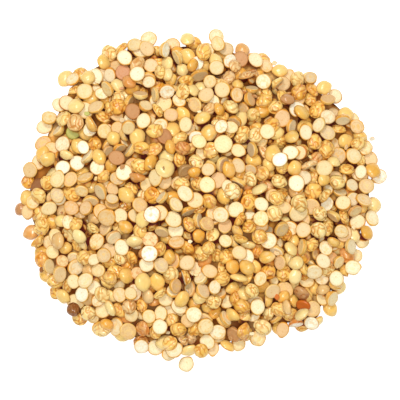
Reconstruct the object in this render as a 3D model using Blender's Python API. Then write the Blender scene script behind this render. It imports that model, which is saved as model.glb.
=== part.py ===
"""A low heap of dry split pulses (chana dal, the halves of small chickpeas) poured on a table.

The heap is one solid: a mound, and on it the half peas that lie on top and along the edge.
The half peas are poured one by one. Each is turned and nudged until its centre of mass lies
as low as it can on what is already there, and it then becomes part of that ground.
Metres, +Z up. The origin is on the table, under the middle of the heap.
"""

import math

import bmesh
import bpy
import numpy as np
from mathutils import Matrix

# The heap
OUTLINE_RADII = (
    0.0750, 0.0758, 0.0748, 0.0715, 0.0672, 0.0680, 0.0693, 0.0700,
    0.0740, 0.0765, 0.0740, 0.0734, 0.0759, 0.0730, 0.0744, 0.0725,
    0.0677, 0.0670, 0.0660, 0.0643, 0.0652, 0.0715, 0.0703, 0.0720,
)  # from +X anticlockwise, at even steps
HEAP_HEIGHT = 0.0165
HEAP_FULLNESS = 1.9  # a power: 1 is a cone, and 2 is a round dome
RIM_LAYER = 0.0020  # least height to pour, inside the outline
SHELL_DEPTH = 0.0052  # of the heap, only this much is poured
OUTLIERS = (
    (-0.0057, -0.0669), (0.0420, -0.0510), (0.0531, -0.0443), (0.0734, 0.0098),
    (-0.0736, -0.0037), (-0.0691, -0.0132), (-0.0640, 0.0299), (-0.0557, 0.0502),
    (-0.0376, 0.0609), (-0.0214, 0.0664), (0.0068, 0.0677), (0.0555, 0.0428),
)  # half peas that lie alone at the edge
MIDDLE = (0.0003, 0.0025)  # of the heap's box, from the middle of its outline

# A half pea: its flat face is an oval, and its back is half an ellipsoid
PEA_LENGTH = 0.0067
PEA_ROUNDNESS = (0.82, 1.0)  # width as a share of the length
PEA_THICKNESS = 0.0028
LENGTH_SPREAD = 0.07
THICKNESS_SPREAD = 0.08
MASS_CENTRE_DEPTH = 0.375  # under the flat face, as a share of the thickness

# How they are poured
SEED = 11
CELL = 0.0004  # of the field of heights
FIELD_RADIUS = 0.09
PATCH_CELLS = 10  # from a half pea's middle to the edge of its patch
ROOM_CELLS = 3
RIM_PEAS = 54
RIM_JITTER = 0.3
RIM_SCATTER = 0.0012
RIM_CLEARANCE = 0.0062
RIM_LEAN = 0.05
MOST_PEAS = 1600
MOST_MISSES = 400
SPOTS_TRIED = 5
LEAST_ROOM = 0.0011
FACE_UP_SHARE = 0.52
STEEP_SHARE = 0.20
STEEP_LEAN = (0.8, 1.4)
USUAL_LEAN = 0.50
NUDGES = 18
STEEP_NUDGES = 10  # so that it stays on its edge
NUDGE_TURN = 0.14

# The solid
SOLID_PEAS = 322
PEA_SIDES = 6
PEA_SWELL = 1.04
PEA_UNDERSIDE = (0.62, 0.82)  # its radius and depth, as shares of the half pea's
LEAST_BITE = 0.0010  # how far a half pea reaches into the mound
DEEPEST_BITE = 0.0017
TABLE_GAP = 0.00015
MOUND_SUBDIVISIONS = 3
MOUND_REACH = 0.0022  # from the foot of the mound to the outline
MOUND_FOOT = 0.0010
MOUND_SINK = 0.0003

PULSE_COLOUR = (0.76, 0.47, 0.17, 1.0)


def clear_scene():
    """Removes every object of the scene."""
    for obj in list(bpy.data.objects):
        bpy.data.objects.remove(obj)


def outline_radius(angle):
    """Radius of the heap's outline at an angle, eased between the stated radii."""
    radii = np.array(OUTLINE_RADII)
    place = np.asarray(angle) / (2 * math.pi) * len(radii) % len(radii)
    first = np.floor(place).astype(int) % len(radii)
    share = place - np.floor(place)
    share = share * share * (3 - 2 * share)
    return radii[first] * (1 - share) + radii[(first + 1) % len(radii)] * share


def profile(share):
    """Height of the heap's body at a share of the way from its middle to its outline."""
    return HEAP_HEIGHT * np.clip(1 - share**HEAP_FULLNESS, 0, None)


def turned(axis, angle):
    """Rotation matrix about an axis of length 1."""
    x, y, z = axis
    cross = np.array([[0, -z, y], [z, 0, -x], [-y, x, 0]])
    return np.eye(3) + math.sin(angle) * cross + (1 - math.cos(angle)) * (cross @ cross)


class Ground:
    """A square field of heights, which starts as the mound and grows with each half pea."""

    def __init__(self):
        reach = round(FIELD_RADIUS / CELL)
        self.axis = np.arange(-reach, reach + 1) * CELL
        self.middle = reach
        across, along = np.meshgrid(self.axis, self.axis, indexing="ij")
        self.share = np.hypot(across, along) / outline_radius(np.arctan2(along, across))
        inside = self.share < 1
        self.target = np.where(inside, np.maximum(profile(self.share), RIM_LAYER), 0)
        self.height = np.where(inside, np.maximum(self.target - SHELL_DEPTH, 0), 0)
        self.owner = np.full(self.height.shape, -1)
        offsets = np.arange(-PATCH_CELLS, PATCH_CELLS + 1) * CELL
        self.patch_x, self.patch_y = np.meshgrid(offsets, offsets, indexing="ij")

    def cell(self, x, y):
        """Row and column of the cell that holds a point."""
        return round(x / CELL) + self.middle, round(y / CELL) + self.middle

    def around(self, row, column, reach=PATCH_CELLS):
        """Slices of the square of cells about one cell."""
        return (
            slice(row - reach, row + reach + 1),
            slice(column - reach, column + reach + 1),
        )

    def room(self, row, column):
        """How far the ground about one cell still lies below the heap's height."""
        return self.target[row, column] - self.height[self.around(row, column, ROOM_CELLS)].mean()

    def span(self, half_sizes, turn):
        """Underside and top of a turned half pea over each cell of a patch, and where it lies."""
        scale = 1 / half_sizes
        flat = [(turn[0, k] * self.patch_x + turn[1, k] * self.patch_y) * scale[k] for k in range(3)]
        rise = turn[2] * scale
        square = rise @ rise
        mixed = flat[0] * rise[0] + flat[1] * rise[1] + flat[2] * rise[2]
        rest = flat[0] ** 2 + flat[1] ** 2 + flat[2] ** 2 - 1
        under_root = mixed * mixed - square * rest
        root = np.sqrt(np.maximum(under_root, 0))
        low = (-mixed - root) / square
        high = (-mixed + root) / square
        slope = rise[2] if abs(rise[2]) > 1e-6 else 1e-6
        face = -flat[2] / slope
        if slope > 0:
            high = np.minimum(high, face)
        else:
            low = np.maximum(low, face)
        return low, high, (under_root > 0) & (high > low)

    def rest_at(self, row, column, half_sizes, turn):
        """Where a turned half pea comes to rest over a cell: its face's height, its centre of
        mass, and its span."""
        low, high, lies = self.span(half_sizes, turn)
        patch = self.height[self.around(row, column)]
        face = np.max(np.where(lies, patch - low, -1))
        centre = face - MASS_CENTRE_DEPTH * half_sizes[2] * turn[2, 2]
        return face, centre, high, lies

    def add(self, row, column, face, high, lies, number):
        """Makes a half pea part of the ground."""
        square = self.around(row, column)
        top = np.where(lies, face + high, -1)
        higher = top > self.height[square]
        self.height[square] = np.where(higher, top, self.height[square])
        self.owner[square] = np.where(higher, number, self.owner[square])


def random_axis(rng):
    """A direction drawn evenly from the sphere."""
    axis = rng.normal(size=3)
    return axis / np.linalg.norm(axis)


def settle(ground, rng, row, column, half_sizes, turn, nudges, wander):
    """Nudges and tips a half pea, and keeps each move that lowers its centre of mass."""
    best = ground.rest_at(row, column, half_sizes, turn)
    edge_share = PEA_LENGTH / 2 / np.mean(OUTLINE_RADII)
    for _ in range(nudges):
        step = rng.integers(-wander, wander + 1, 2)
        tip = turned(random_axis(rng), rng.normal(0, NUDGE_TURN))
        place = row + step[0], column + step[1]
        if ground.share[place] > 1 - edge_share:
            continue
        tried = ground.rest_at(*place, half_sizes, tip @ turn)
        if tried[1] < best[1] - 1e-7:
            best = tried
            row, column = place
            turn = tip @ turn
    return row, column, turn, best


def drop(ground, rng, peas, row, column, lean, nudges, wander=1):
    """Drops one half pea over a cell and adds it to the ground and to the list."""
    length = PEA_LENGTH * rng.normal(1, LENGTH_SPREAD)
    width = length * rng.uniform(*PEA_ROUNDNESS)
    thickness = PEA_THICKNESS * rng.normal(1, THICKNESS_SPREAD)
    half_sizes = np.array([length / 2, width / 2, thickness])
    face_up = rng.random() < FACE_UP_SHARE
    turn = turned((0, 0, 1), rng.uniform(0, 2 * math.pi))
    if not face_up:
        turn = turned((1, 0, 0), math.pi) @ turn
    way = rng.uniform(0, 2 * math.pi)
    turn = turned((math.cos(way), math.sin(way), 0), lean) @ turn
    row, column, turn, rest = settle(ground, rng, row, column, half_sizes, turn, nudges, wander)
    face, _, high, lies = rest
    ground.add(row, column, face, high, lies, len(peas))
    place = np.array([ground.axis[row], ground.axis[column], face])
    peas.append({"place": place, "turn": turn, "half_sizes": half_sizes})


def pour():
    """Pours the heap: first its rim and the ones that lie alone, then wherever room is left."""
    rng = np.random.default_rng(SEED)
    ground = Ground()
    peas = []
    for x, y in OUTLIERS:
        drop(ground, rng, peas, *ground.cell(x, y), 0, 0)
    for k in range(RIM_PEAS):
        angle = 2 * math.pi * (k + rng.uniform(-RIM_JITTER, RIM_JITTER)) / RIM_PEAS
        radius = float(outline_radius(angle)) - PEA_LENGTH / 2 - abs(rng.normal(0, RIM_SCATTER))
        x, y = radius * math.cos(angle), radius * math.sin(angle)
        nearest = min(math.hypot(x - p["place"][0], y - p["place"][1]) for p in peas)
        if nearest > RIM_CLEARANCE:
            drop(ground, rng, peas, *ground.cell(x, y), RIM_LEAN, STEEP_NUDGES, wander=0)
    at_edge = len(peas)
    misses = 0
    while len(peas) < MOST_PEAS and misses < MOST_MISSES:
        angles = rng.uniform(0, 2 * math.pi, SPOTS_TRIED)
        radii = np.sqrt(rng.uniform(0, 1, SPOTS_TRIED)) * (outline_radius(angles) - PEA_LENGTH / 2)
        spots = [ground.cell(r * math.cos(a), r * math.sin(a)) for r, a in zip(radii, angles)]
        rooms = [ground.room(*spot) for spot in spots]
        roomiest = int(np.argmax(rooms))
        if rooms[roomiest] < LEAST_ROOM:
            misses += 1
            continue
        steep = rng.random() < STEEP_SHARE
        lean = rng.uniform(*STEEP_LEAN) if steep else abs(rng.normal(0, USUAL_LEAN))
        drop(ground, rng, peas, *spots[roomiest], lean, STEEP_NUDGES if steep else NUDGES)
    seen = np.bincount(ground.owner[ground.owner >= 0], minlength=len(peas)) * CELL**2
    for number, pea in enumerate(peas):
        pea["seen"] = seen[number]
        pea["at_edge"] = number < at_edge
    return peas


def pulse_material():
    """Dull gold, as the peas look from a step away."""
    material = bpy.data.materials.new("dry_pulse")
    material.use_nodes = True
    shader = material.node_tree.nodes["Principled BSDF"]
    shader.inputs["Base Color"].default_value = PULSE_COLOUR
    shader.inputs["Roughness"].default_value = 0.45
    shader.inputs["Metallic"].default_value = 0.0
    return material


def mesh_object(name, bm, collection):
    """Turns a bmesh into an object of a collection."""
    mesh = bpy.data.meshes.new(name)
    bm.to_mesh(mesh)
    bm.free()
    obj = bpy.data.objects.new(name, mesh)
    collection.objects.link(obj)
    return obj


def mound_top(x, y):
    """Height of the mound over a point."""
    share = math.hypot(x, y) / float(outline_radius(math.atan2(y, x)))
    return max(float(profile(share)) - MOUND_SINK, MOUND_FOOT)


def make_pea(number, pea, collection):
    """One half pea with few sides, a little swollen, and moved up or down until it stands out
    of the mound and the mound holds it."""
    bm = bmesh.new()
    under_radius, depth = PEA_UNDERSIDE
    bmesh.ops.create_cone(
        bm, cap_ends=True, segments=PEA_SIDES, radius1=under_radius, radius2=1, depth=depth
    )
    bmesh.ops.translate(bm, vec=(0, 0, -depth / 2), verts=bm.verts)
    size = Matrix.Diagonal((*(pea["half_sizes"] * PEA_SWELL), 1))
    turn = Matrix([list(row) for row in pea["turn"]]).to_4x4()
    bmesh.ops.transform(bm, matrix=Matrix.Translation(pea["place"]) @ turn @ size, verts=bm.verts)
    lowest = min(v.co.z for v in bm.verts)
    top = mound_top(*pea["place"][:2])
    held = min(max(lowest, top - DEEPEST_BITE), top - LEAST_BITE)
    bmesh.ops.translate(bm, vec=(0, 0, max(held, TABLE_GAP) - lowest), verts=bm.verts)
    return mesh_object(f"pea_{number:03d}", bm, collection)


def make_mound(collection):
    """The mound under the peas: half a sphere, spread out to the heap's outline and given its
    profile, on a foot that is a low wall round a flat base."""
    bm = bmesh.new()
    bmesh.ops.create_icosphere(bm, subdivisions=MOUND_SUBDIVISIONS, radius=1)
    lower = [v for v in bm.verts if v.co.z < -1e-4]
    bmesh.ops.delete(bm, geom=lower, context="VERTS")
    rim = {v for e in bm.edges if e.is_boundary for v in e.verts}
    for vert in bm.verts:
        angle = math.atan2(vert.co.y, vert.co.x)
        share = 2 / math.pi * math.atan2(math.hypot(vert.co.x, vert.co.y), vert.co.z)
        radius = (float(outline_radius(angle)) - MOUND_REACH) * share
        x, y = radius * math.cos(angle), radius * math.sin(angle)
        vert.co = (x, y, MOUND_FOOT if vert in rim else mound_top(x, y))
    open_edges = [e for e in bm.edges if e.is_boundary]
    wall = bmesh.ops.extrude_edge_only(bm, edges=open_edges)
    for vert in wall["geom"]:
        if isinstance(vert, bmesh.types.BMVert):
            vert.co.z = 0
    bmesh.ops.contextual_create(bm, geom=[e for e in bm.edges if e.is_boundary])
    bmesh.ops.recalc_face_normals(bm, faces=bm.faces)
    return mesh_object("heap", bm, collection)


def keep_main_body(obj):
    """Drops scraps that nothing holds, and the walls of sealed hollows."""
    bm = bmesh.new()
    bm.from_mesh(obj.data)
    left = set(bm.verts)
    bodies = []
    while left:
        body, edge = set(), {next(iter(left))}
        while edge:
            body |= edge
            edge = {e.other_vert(v) for v in edge for e in v.link_edges} - body
        bodies.append(body)
        left -= body
    bodies.sort(key=len)
    scraps = [v for body in bodies[:-1] for v in body]
    bmesh.ops.delete(bm, geom=scraps, context="VERTS")
    bm.to_mesh(obj.data)
    bm.free()


def join(mound, peas, collection):
    """Joins the peas to the mound by one Boolean union, and removes their own objects."""
    union = mound.modifiers.new("union", "BOOLEAN")
    union.operation = "UNION"
    union.operand_type = "COLLECTION"
    union.collection = collection
    union.solver = "MANIFOLD"
    joined = bpy.data.meshes.new_from_object(
        mound.evaluated_get(bpy.context.evaluated_depsgraph_get())
    )
    mound.modifiers.clear()
    mound.data = joined
    for obj in peas:
        bpy.data.objects.remove(obj)
    bpy.data.collections.remove(collection)


def main():
    clear_scene()
    heap_collection = bpy.data.collections.new("heap_of_split_pulses")
    pea_collection = bpy.data.collections.new("peas_to_join")
    for collection in (heap_collection, pea_collection):
        bpy.context.scene.collection.children.link(collection)
    peas = pour()
    chosen = sorted(peas, key=lambda pea: (not pea["at_edge"], -pea["seen"]))[:SOLID_PEAS]
    mound = make_mound(heap_collection)
    solids = [make_pea(number, pea, pea_collection) for number, pea in enumerate(chosen)]
    join(mound, solids, pea_collection)
    keep_main_body(mound)
    mound.data.transform(Matrix.Translation((-MIDDLE[0], -MIDDLE[1], 0)))
    mound.data.materials.clear()
    mound.data.materials.append(pulse_material())


main()
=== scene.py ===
# %% [markdown]
# # A heap of split pulses
# Chana dal is the dried chickpea with its skin rubbed off and its two halves split apart. Each half
# has a flat, pale, chalky face where it met its twin, and a round back that dries smooth or shrinks
# into wrinkles like a walnut's. Here several hundred of them lie in a low heap on a white table.
# This lesson pours the heap half by half, shapes the halves with Geometry Nodes, and paints them.
# We start with the part's frame. Its solid has plain blocks for the halves, so that we know where
# the heap lies, and everything below is measured in metres in that same frame.

# %% The frame
import math

import bmesh
import bpy
import numpy as np
from mathutils import Matrix, Vector


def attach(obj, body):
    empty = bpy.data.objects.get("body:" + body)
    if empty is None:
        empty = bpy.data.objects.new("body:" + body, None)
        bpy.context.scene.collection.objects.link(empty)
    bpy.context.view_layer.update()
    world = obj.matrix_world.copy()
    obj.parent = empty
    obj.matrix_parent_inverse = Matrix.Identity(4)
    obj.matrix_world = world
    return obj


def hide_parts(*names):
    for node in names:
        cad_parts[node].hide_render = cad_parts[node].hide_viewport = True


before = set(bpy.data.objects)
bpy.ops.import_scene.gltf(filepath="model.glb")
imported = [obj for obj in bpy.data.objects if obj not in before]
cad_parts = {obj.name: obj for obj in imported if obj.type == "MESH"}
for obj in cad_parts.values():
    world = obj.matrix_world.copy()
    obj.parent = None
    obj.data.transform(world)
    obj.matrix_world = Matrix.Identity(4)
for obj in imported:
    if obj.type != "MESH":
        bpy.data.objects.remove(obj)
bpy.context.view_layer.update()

# %% [markdown]
# ## Where the photo was taken from
# The camera looks almost straight down, so flat halves stay round. Halves in the middle of the heap
# look slightly larger than those at its edge, which means that the lens was close. The picture is
# square and 164 mm wide on the table. Its centre is the point from which the outline is measured,
# which lies a little off the middle of the heap's box.

# %% Camera
MIDDLE = (0.0003, 0.0025)
PICTURE_WIDTH = 0.164
CAMERA_DISTANCE = 0.45
CAMERA_ELEVATION = math.radians(87)
AIM = Vector((-MIDDLE[0], -MIDDLE[1], 0.002))


def point_at(obj, target):
    """Turns a camera or a light so that it looks at a point."""
    obj.rotation_euler = (Vector(target) - obj.location).to_track_quat("-Z", "Y").to_euler()


def add_camera():
    lens = bpy.data.cameras.new("photo_camera")
    lens.lens = lens.sensor_width * CAMERA_DISTANCE / PICTURE_WIDTH
    lens.clip_start = 0.01
    camera = bpy.data.objects.new("photo_camera", lens)
    back = Vector((0, -math.cos(CAMERA_ELEVATION), math.sin(CAMERA_ELEVATION)))
    camera.location = AIM + CAMERA_DISTANCE * back
    point_at(camera, AIM)
    bpy.context.scene.collection.objects.link(camera)
    bpy.context.scene.camera = camera
    return camera


camera = add_camera()
print("camera at", tuple(round(c, 3) for c in camera.location), "lens", round(camera.data.lens, 1))

# %% [markdown]
# ## Light
# The photo is bright and clean. One lamp hangs beyond the heap, a little to the left, and leaves
# thin dark gaps below and to the right of each half. A second one hangs almost in line with the
# lens. It fills the shadows and puts a small highlight on every glossy back. Both are small, so
# that the gaps keep clear edges.

# %% Lamps
KEY_PLACE = (-0.07, 0.22, 0.52)
KEY_SIZE, KEY_POWER = 0.08, 1.25
KEY_COLOUR = (1.0, 1.0, 1.0)
FILL_PLACE = (0.0, -0.03, 0.52)
FILL_SIZE, FILL_POWER = 0.06, 1.7
FILL_COLOUR = (0.98, 0.98, 0.90)
LAMPS_AIM = (0, 0, 0.01)


def add_lamp(name, place, size, power, colour):
    lamp = bpy.data.lights.new(name, "AREA")
    lamp.color = colour
    lamp.size = size
    lamp.energy = power
    holder = bpy.data.objects.new(name, lamp)
    holder.location = place
    point_at(holder, LAMPS_AIM)
    bpy.context.scene.collection.objects.link(holder)


add_lamp("key_lamp", KEY_PLACE, KEY_SIZE, KEY_POWER, KEY_COLOUR)
add_lamp("fill_lamp", FILL_PLACE, FILL_SIZE, FILL_POWER, FILL_COLOUR)
print("two lamps of", KEY_POWER, "and", FILL_POWER, "W")

# %% [markdown]
# The walls of a bright room send a little light back from all sides. We could build the walls, or
# wrap a picture of a room round the scene, but dry pulses are too dull to mirror it, so a plain
# white world does. The view is set to Standard, because Blender's usual one makes white look grey.

# %% The white room
WORLD_LIGHT = 0.25


def add_white_room():
    world = bpy.data.worlds.new("white_room")
    world.use_nodes = True
    background = world.node_tree.nodes["Background"]
    background.inputs["Strength"].default_value = WORLD_LIGHT
    background.inputs["Color"].default_value = (1, 1, 1, 1)
    bpy.context.scene.world = world
    bpy.context.scene.view_settings.view_transform = "Standard"


add_white_room()
print("and a white room of strength", WORLD_LIGHT)

# %% [markdown]
# ## Sums in a node tree
# Shader nodes and geometry nodes do their sums with the same Math node. A tree of thirty of them is
# hard to read, and a line such as 1 - mask * 2 isn't. So we wrap a socket in a small class whose
# plus, minus, times and so on each add one Math node and give back its output.

# %% A socket to count with


class Term:
    """A number socket of a node tree. Python's operators on it add Math nodes to the tree."""

    def __init__(self, board, socket):
        self.board, self.socket = board, socket

    def math(self, operation, *others):
        inputs = dict(enumerate((self, *others)))
        return self.board.add("ShaderNodeMath", {"operation": operation}, inputs)[0]

    def swapped(self, operation, other):
        inputs = {0: other, 1: self}
        return self.board.add("ShaderNodeMath", {"operation": operation}, inputs)[0]

    def __add__(self, other):
        return self.math("ADD", other)

    def __sub__(self, other):
        return self.math("SUBTRACT", other)

    def __mul__(self, other):
        return self.math("MULTIPLY", other)

    def __truediv__(self, other):
        return self.math("DIVIDE", other)

    def __pow__(self, other):
        return self.math("POWER", other)

    def __rsub__(self, other):
        return self.swapped("SUBTRACT", other)

    def __rtruediv__(self, other):
        return self.swapped("DIVIDE", other)

    def __neg__(self):
        return self.math("MULTIPLY", -1)

    def __abs__(self):
        return self.math("ABSOLUTE")

    __radd__ = __add__
    __rmul__ = __mul__

    def above(self, other):
        """1 where this is greater, and 0 elsewhere."""
        return self.math("GREATER_THAN", other)

    def step(self, low, high):
        """Rises smoothly from 0 to 1 as this goes from low to high."""
        settings = {"interpolation_type": "SMOOTHSTEP"}
        inputs = {"Value": self, "From Min": low, "From Max": high}
        return self.board.add("ShaderNodeMapRange", settings, inputs)["Result"]


class Board:
    """A node tree to which nodes are added one at a time."""

    def __init__(self, tree):
        self.tree = tree

    def add(self, kind, settings=None, inputs=None):
        """Adds a node, with its settings first and then the values or links of its sockets."""
        node = self.tree.nodes.new(kind)
        for name, value in (settings or {}).items():
            setattr(node, name, value)
        for name, value in (inputs or {}).items():
            self.plug(find_socket(node.inputs, name), value)
        return Outputs(self, node)

    def plug(self, socket, value):
        """Links an output to an input, or sets the input's own value."""
        if isinstance(value, Term):
            self.tree.links.new(value.socket, socket)
        else:
            socket.default_value = value


class Outputs:
    """A node's outputs, found by name, identifier or number."""

    def __init__(self, board, node):
        self.board, self.node = board, node

    def __getitem__(self, name):
        return Term(self.board, find_socket(self.node.outputs, name))


def find_socket(sockets, name):
    """A socket by number, or the one in use with that identifier or name."""
    if isinstance(name, int):
        return sockets[name]
    shown = [s for s in sockets if s.enabled and name in (s.identifier, s.name)]
    return shown[0]


# %% [markdown]
# ## Pouring the heap
# A real heap is thousands of small accidents: each half slides, tips and settles on those that came
# before. A rigid-body simulation would show that, but it is slow and a little different on each
# computer. Instead we keep a field of heights. Each half is dropped over the spot that still lacks
# most, and nudged at random. A nudge is kept if it lets the half's centre of mass sink. What comes
# to rest becomes part of the ground. It takes a few seconds, and the same seed gives the same heap
# as in the part, so the detailed halves lie where its blocks are.
# The outline is read off the photo every 15 degrees. The dozen halves that lie a little apart at
# its edge are placed one by one.

# %% The size of the heap
OUTLINE_RADII = (
    0.0750, 0.0758, 0.0748, 0.0715, 0.0672, 0.0680, 0.0693, 0.0700,
    0.0740, 0.0765, 0.0740, 0.0734, 0.0759, 0.0730, 0.0744, 0.0725,
    0.0677, 0.0670, 0.0660, 0.0643, 0.0652, 0.0715, 0.0703, 0.0720,
)
HEAP_HEIGHT = 0.0165
HEAP_FULLNESS = 1.9
RIM_LAYER = 0.0020
SHELL_DEPTH = 0.0052
OUTLIERS = (
    (-0.0057, -0.0669), (0.0420, -0.0510), (0.0531, -0.0443), (0.0734, 0.0098),
    (-0.0736, -0.0037), (-0.0691, -0.0132), (-0.0640, 0.0299), (-0.0557, 0.0502),
    (-0.0376, 0.0609), (-0.0214, 0.0664), (0.0068, 0.0677), (0.0555, 0.0428),
)


def outline_radius(angle):
    """Radius of the heap's outline at an angle, eased between the stated radii."""
    radii = np.array(OUTLINE_RADII)
    place = np.asarray(angle) / (2 * math.pi) * len(radii) % len(radii)
    first = np.floor(place).astype(int) % len(radii)
    share = place - np.floor(place)
    share = share * share * (3 - 2 * share)
    return radii[first] * (1 - share) + radii[(first + 1) % len(radii)] * share


def profile(share):
    """Height of the heap's body at a share of the way from its middle to its outline."""
    return HEAP_HEIGHT * np.clip(1 - share**HEAP_FULLNESS, 0, None)


print("the outline's mean radius is", round(1000 * float(np.mean(OUTLINE_RADII)), 1), "mm")

# %% [markdown]
# The field knows two things of each of its cells: how high the ground is by now, and which half
# owns that ground. To drop a half, we look at the patch of cells under it. The half comes to rest
# where the first cell touches its underside. A half is half an ellipsoid, so the height of its
# underside and of its top over each cell comes from solving one quadratic equation.

# %% The field of heights
CELL = 0.0004
FIELD_RADIUS = 0.09
PATCH_CELLS = 10
ROOM_CELLS = 3
MASS_CENTRE_DEPTH = 0.375
LEAST_SLOPE = 1e-6


class Ground:
    """A square field of heights, which starts as a mound and grows with each half pea."""

    def __init__(self):
        reach = round(FIELD_RADIUS / CELL)
        self.axis = np.arange(-reach, reach + 1) * CELL
        self.middle = reach
        across, along = np.meshgrid(self.axis, self.axis, indexing="ij")
        self.share = np.hypot(across, along) / outline_radius(np.arctan2(along, across))
        inside = self.share < 1
        self.target = np.where(inside, np.maximum(profile(self.share), RIM_LAYER), 0)
        self.height = np.where(inside, np.maximum(self.target - SHELL_DEPTH, 0), 0)
        self.owner = np.full(self.height.shape, -1)
        offsets = np.arange(-PATCH_CELLS, PATCH_CELLS + 1) * CELL
        self.patch_x, self.patch_y = np.meshgrid(offsets, offsets, indexing="ij")

    def cell(self, x, y):
        """Row and column of the cell that holds a point."""
        return round(x / CELL) + self.middle, round(y / CELL) + self.middle

    def around(self, row, column, reach=PATCH_CELLS):
        """Slices of the square of cells about one cell."""
        return (
            slice(row - reach, row + reach + 1),
            slice(column - reach, column + reach + 1),
        )

    def room(self, row, column):
        """How far the ground about one cell still lies below the heap's height."""
        return self.target[row, column] - self.height[self.around(row, column, ROOM_CELLS)].mean()

    def span(self, half_sizes, turn):
        """Underside and top of a turned half pea over each cell of a patch, and where it lies."""
        scale = 1 / half_sizes
        flat = [
            (turn[0, k] * self.patch_x + turn[1, k] * self.patch_y) * scale[k] for k in range(3)
        ]
        rise = turn[2] * scale
        square = rise @ rise
        mixed = flat[0] * rise[0] + flat[1] * rise[1] + flat[2] * rise[2]
        rest = flat[0] ** 2 + flat[1] ** 2 + flat[2] ** 2 - 1
        under_root = mixed * mixed - square * rest
        root = np.sqrt(np.maximum(under_root, 0))
        low = (-mixed - root) / square
        high = (-mixed + root) / square
        slope = rise[2] if abs(rise[2]) > LEAST_SLOPE else LEAST_SLOPE
        face = -flat[2] / slope
        if slope > 0:
            high = np.minimum(high, face)
        else:
            low = np.maximum(low, face)
        return low, high, (under_root > 0) & (high > low)

    def rest_at(self, row, column, half_sizes, turn):
        """Where a turned half pea comes to rest over a cell: its face's height, its centre of
        mass, and its span."""
        low, high, lies = self.span(half_sizes, turn)
        patch = self.height[self.around(row, column)]
        face = np.max(np.where(lies, patch - low, -1))
        centre = face - MASS_CENTRE_DEPTH * half_sizes[2] * turn[2, 2]
        return face, centre, high, lies

    def add(self, row, column, face, high, lies, number):
        """Makes a half pea part of the ground."""
        square = self.around(row, column)
        top = np.where(lies, face + high, -1)
        higher = top > self.height[square]
        self.height[square] = np.where(higher, top, self.height[square])
        self.owner[square] = np.where(higher, number, self.owner[square])


print("the field has", 2 * round(FIELD_RADIUS / CELL) + 1, "cells each way")

# %% [markdown]
# A half pea is measured by its length, its width and the thickness of its back. It lies face up a
# little more often than not, since it rocks on its round back until it is level. One in five is
# caught on its edge between others.

# %% Dropping one half
PEA_LENGTH = 0.0067
PEA_ROUNDNESS = (0.82, 1.0)
PEA_THICKNESS = 0.0028
LENGTH_SPREAD = 0.07
THICKNESS_SPREAD = 0.08
FACE_UP_SHARE = 0.52
NUDGE_TURN = 0.14
LEAST_SINK = 1e-7


def turned(axis, angle):
    """Rotation matrix about an axis of length 1."""
    x, y, z = axis
    cross = np.array([[0, -z, y], [z, 0, -x], [-y, x, 0]])
    return np.eye(3) + math.sin(angle) * cross + (1 - math.cos(angle)) * (cross @ cross)


def random_axis(rng):
    """A direction drawn evenly from the sphere."""
    axis = rng.normal(size=3)
    return axis / np.linalg.norm(axis)


def settle(ground, rng, row, column, half_sizes, turn, nudges, wander):
    """Nudges and tips a half pea, and keeps each move that lowers its centre of mass."""
    best = ground.rest_at(row, column, half_sizes, turn)
    edge_share = PEA_LENGTH / 2 / np.mean(OUTLINE_RADII)
    for _ in range(nudges):
        step = rng.integers(-wander, wander + 1, 2)
        tip = turned(random_axis(rng), rng.normal(0, NUDGE_TURN))
        place = row + step[0], column + step[1]
        if ground.share[place] > 1 - edge_share:
            continue
        tried = ground.rest_at(*place, half_sizes, tip @ turn)
        if tried[1] < best[1] - LEAST_SINK:
            best = tried
            row, column = place
            turn = tip @ turn
    return row, column, turn, best


def drop(ground, rng, peas, row, column, lean, nudges, wander=1, limit=math.inf, face_up=False):
    """Drops one half pea over a cell, and unless it stands higher than the limit, adds it to the
    ground and to the list."""
    length = PEA_LENGTH * rng.normal(1, LENGTH_SPREAD)
    width = length * rng.uniform(*PEA_ROUNDNESS)
    thickness = PEA_THICKNESS * rng.normal(1, THICKNESS_SPREAD)
    half_sizes = np.array([length / 2, width / 2, thickness])
    face_up = rng.random() < FACE_UP_SHARE or face_up
    turn = turned((0, 0, 1), rng.uniform(0, 2 * math.pi))
    if not face_up:
        turn = turned((1, 0, 0), math.pi) @ turn
    way = rng.uniform(0, 2 * math.pi)
    turn = turned((math.cos(way), math.sin(way), 0), lean) @ turn
    row, column, turn, rest = settle(ground, rng, row, column, half_sizes, turn, nudges, wander)
    face, _, high, lies = rest
    if face + np.max(np.where(lies, high, -1)) > limit:
        return
    ground.add(row, column, face, high, lies, len(peas))
    place = np.array([ground.axis[row], ground.axis[column], face])
    peas.append({"place": place, "turn": turn, "half_sizes": half_sizes})


print("a half is about", PEA_LENGTH * 1000, "mm long and", PEA_THICKNESS * 1000, "mm thick")

# %% [markdown]
# The halves along the edge come first, and stand in a loose ring. The rest go wherever the heap is
# lowest, until hardly any spot has room for another.

# %% Pouring them all
SEED = 11
RIM_PEAS = 54
RIM_JITTER = 0.3
RIM_SCATTER = 0.0012
RIM_CLEARANCE = 0.0062
RIM_LEAN = 0.05
MOST_PEAS = 1600
MOST_MISSES = 400
SPOTS_TRIED = 5
LEAST_ROOM = 0.0011
STEEP_SHARE = 0.20
STEEP_LEAN = (0.8, 1.4)
USUAL_LEAN = 0.50
NUDGES = 18
STEEP_NUDGES = 10


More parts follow.
